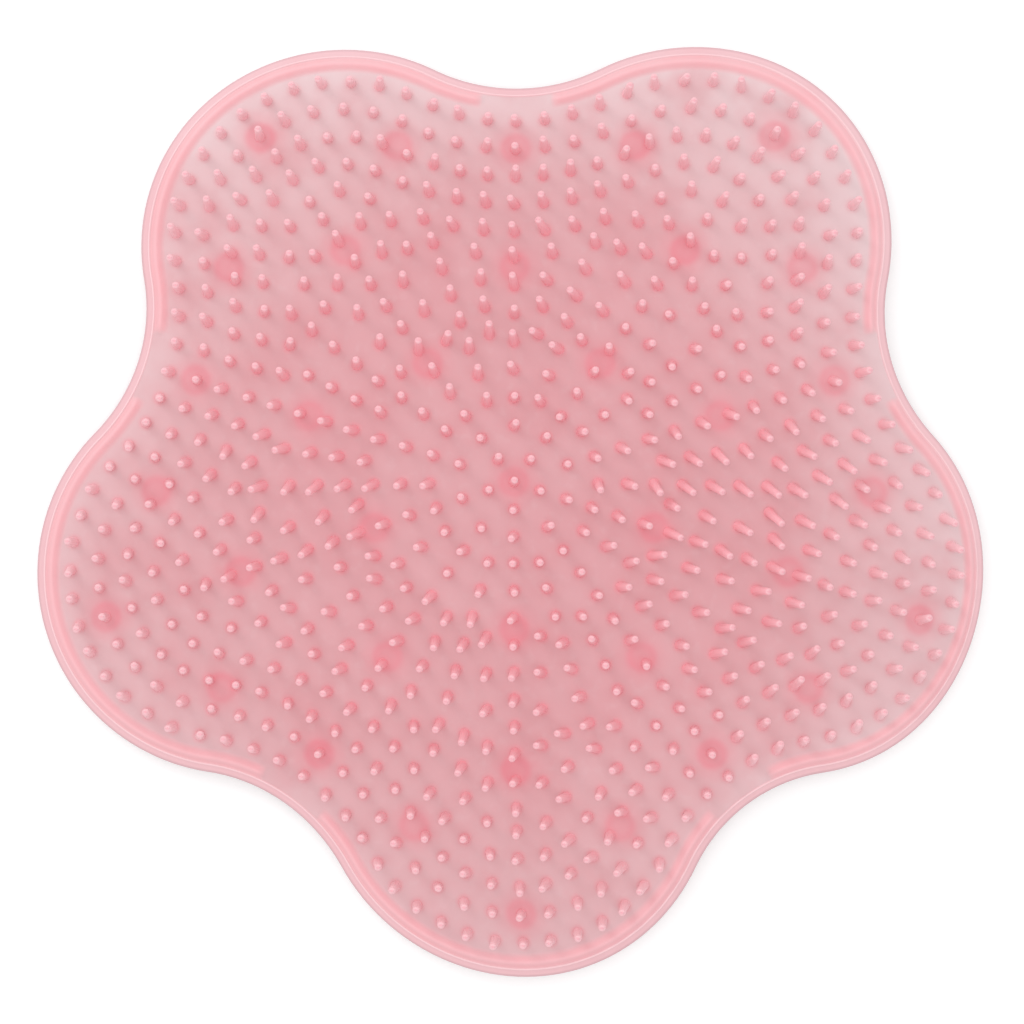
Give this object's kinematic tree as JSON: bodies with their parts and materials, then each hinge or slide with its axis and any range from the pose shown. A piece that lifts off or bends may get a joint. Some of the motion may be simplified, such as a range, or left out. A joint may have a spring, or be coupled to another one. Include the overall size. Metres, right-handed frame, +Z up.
{
  "type": "shower foot scrubber",
  "caption": "Flower-shaped soft rubber mat for a shower floor, with tapered bristles on top and suction cups below.",
  "frame": {"origin": "centre of the flower, in the middle of the centre suction cup, on the floor that the cups stand on", "axes": "+Z up from the floor through the bristles, -Y through the middle of one lobe, +X across the flower at its widest"},
  "size_m": [0.301, 0.2924, 0.0206],
  "materials": {
    "soft_rubber": "satin"
  },
  "bodies": {
    "root": {"scrubber_mat": "soft_rubber"}
  },
  "joints": []
}
